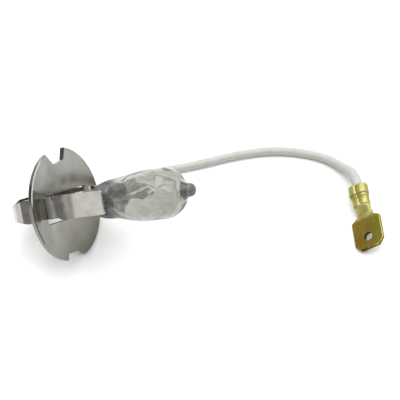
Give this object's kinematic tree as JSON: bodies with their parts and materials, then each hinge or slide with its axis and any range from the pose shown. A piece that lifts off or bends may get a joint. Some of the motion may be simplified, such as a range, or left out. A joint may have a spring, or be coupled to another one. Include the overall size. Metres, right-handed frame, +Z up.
{
  "type": "headlight bulb",
  "caption": "Halogen headlight bulb: clear quartz capsule gripped by a bent metal strip in a notched round prefocus flange, with a short white lead ending in a brass blade.",
  "frame": {"origin": "centre of the bottom of the lamp's own box as the lamp lies on a table, with the lead and its terminal left out", "axes": "+Z up from the table, +X along the lamp's heading from the flange towards the tip, +Y towards the side where the lead lies"},
  "size_m": [0.0711, 0.0383, 0.0256],
  "materials": {
    "nickel_plate": "bright nickel plating, slightly stained",
    "quartz": "clear, fire polished",
    "molybdenum": "drawn wire and foil",
    "tungsten": "fine coiled wire",
    "white_insulation": "satin extruded insulation",
    "copper_strands": "twisted strands",
    "brass_blade": "stamped, bright with darker tarnish"
  },
  "bodies": {
    "root": {"flange_disc": "nickel_plate", "holder_strip": "nickel_plate", "quartz_capsule": "quartz", "filament_coil": "tungsten", "near_inner_wire": "molybdenum", "far_inner_wire": "molybdenum", "near_foil": "molybdenum", "far_foil": "molybdenum", "near_outer_wire": "molybdenum", "far_outer_wire": "molybdenum", "splice_ferrule": "nickel_plate", "lead_core": "copper_strands", "lead_insulation": "white_insulation", "male_terminal": "brass_blade"}
  },
  "joints": []
}
